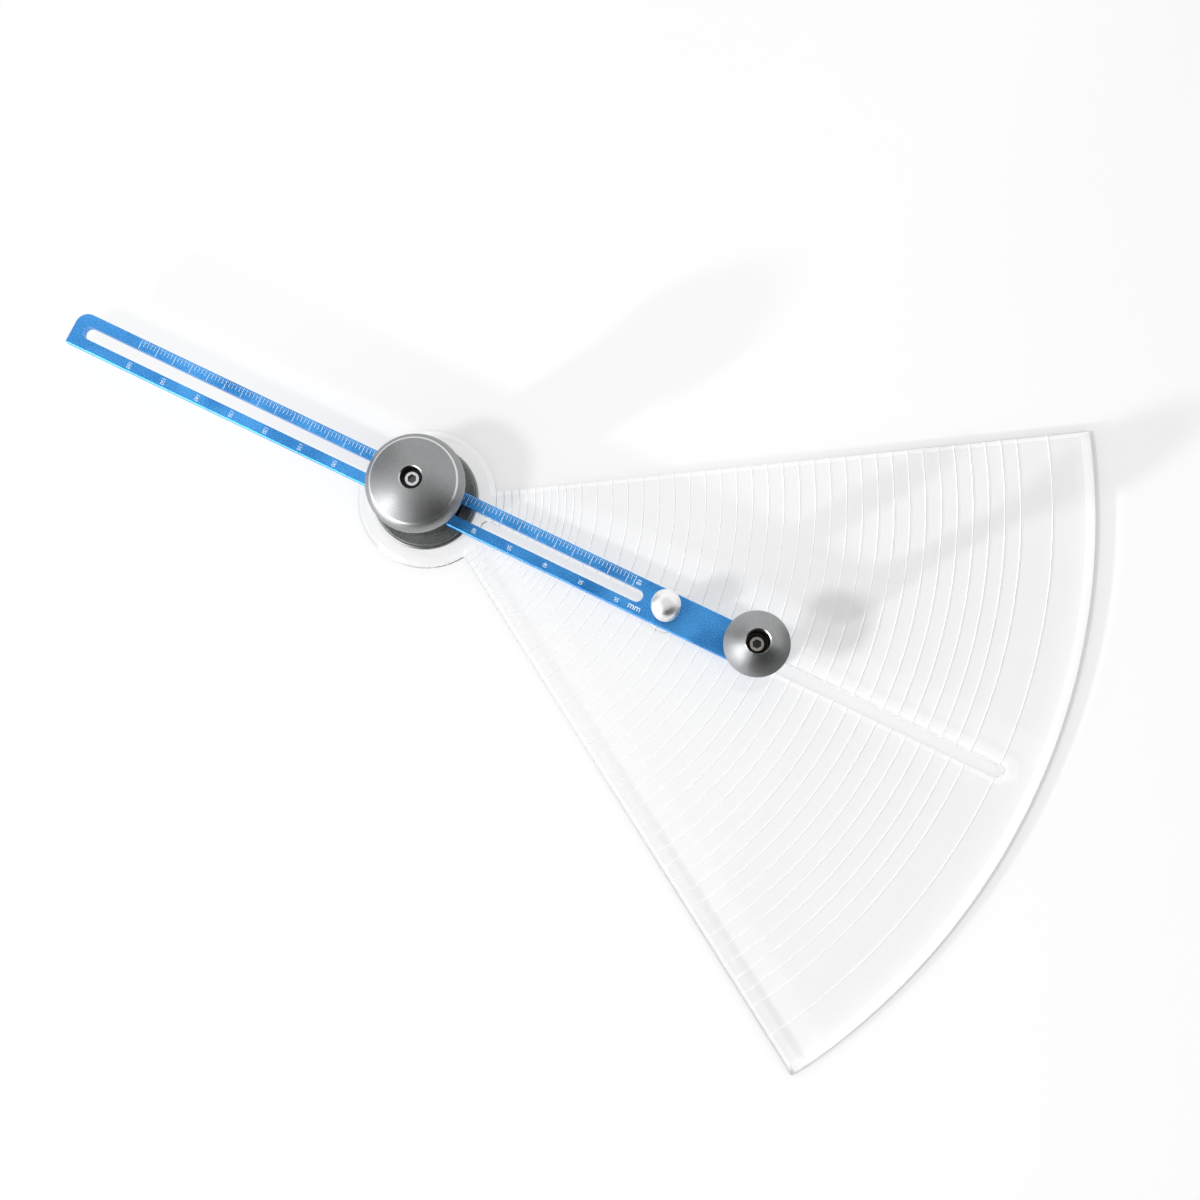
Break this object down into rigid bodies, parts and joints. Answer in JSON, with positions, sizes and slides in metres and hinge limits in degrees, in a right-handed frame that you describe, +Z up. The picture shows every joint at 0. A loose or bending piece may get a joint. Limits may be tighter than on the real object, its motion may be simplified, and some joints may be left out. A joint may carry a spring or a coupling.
{
  "type": "circle cutter",
  "caption": "Rotary circle cutter with a domed palm knob, a slotted scale arm that slides through the hub, a plunging blade, a crank knob and a clear sector press plate.",
  "frame": {"origin": "pivot axis of the hub at the underside of the foot and press plate, which is the sheet being cut", "axes": "+X along the arm from the pivot towards the blade, +Y to the side of the arm that carries the ticks, +Z up along the pivot"},
  "size_m": [0.2726, 0.1782, 0.0323],
  "materials": {
    "clear_acrylic": "clear, polished faces and bevelled edges",
    "blue_anodised_aluminium": "fine blasted and anodised blue, white scale",
    "satin_aluminium": "bead blasted satin, polished edge",
    "polished_aluminium": "polished",
    "gunmetal_aluminium": "fine blasted and anodised gunmetal",
    "chromed_steel": "polished",
    "screw_steel": "bright zinc",
    "spring_steel": "drawn wire and sheet",
    "blade_steel": "ground",
    "blackened_steel": "turned and oil blackened",
    "white_nylon": "moulded, slippery",
    "grey_rubber": "matt"
  },
  "bodies": {
    "foot": {"centre_foot": "polished_aluminium", "grip_pad": "grey_rubber", "thrust_washer": "white_nylon", "knob_washer": "white_nylon", "palm_knob": "satin_aluminium", "palm_screw": "screw_steel"},
    "hub": {"press_plate": "clear_acrylic", "flange_ring": "satin_aluminium", "base_flange": "gunmetal_aluminium", "hub_neck": "polished_aluminium", "brake_pad": "white_nylon", "disc_spring": "spring_steel", "plate_screws": "screw_steel"},
    "arm": {"arm": "blue_anodised_aluminium", "crank_post": "satin_aluminium", "crank_washer": "white_nylon", "crank_bush": "blackened_steel", "crank_screw": "screw_steel", "blade_sleeve": "polished_aluminium", "blade_guard": "clear_acrylic", "blade_spring": "spring_steel"},
    "crank": {"crank_knob": "satin_aluminium"},
    "plunger": {"blade_cap": "chromed_steel", "blade_shaft": "screw_steel", "shaft_clip": "spring_steel", "blade": "blade_steel", "blade_pin": "spring_steel"}
  },
  "joints": [
    {"name": "hub_spin", "type": "hinge", "parent": "foot", "child": "hub", "pos_m": [0, 0, 0], "axis": [0, 0, 1], "continuous": true},
    {"name": "radius_slide", "type": "slide", "parent": "hub", "child": "arm", "axis": [1, 0, 0], "range_m": [-0.0505, 0.0915]},
    {"name": "crank_spin", "type": "hinge", "parent": "arm", "child": "crank", "pos_m": [0.0925, 0, 0.0226], "axis": [0, 0, 1], "continuous": true},
    {"name": "blade_plunge", "type": "slide", "parent": "arm", "child": "plunger", "axis": [0, 0, -1], "range_m": [0, 0.001], "stiffness_N_per_m": 300, "springref_m": -0.002, "deforming": ["blade_spring"]}
  ]
}
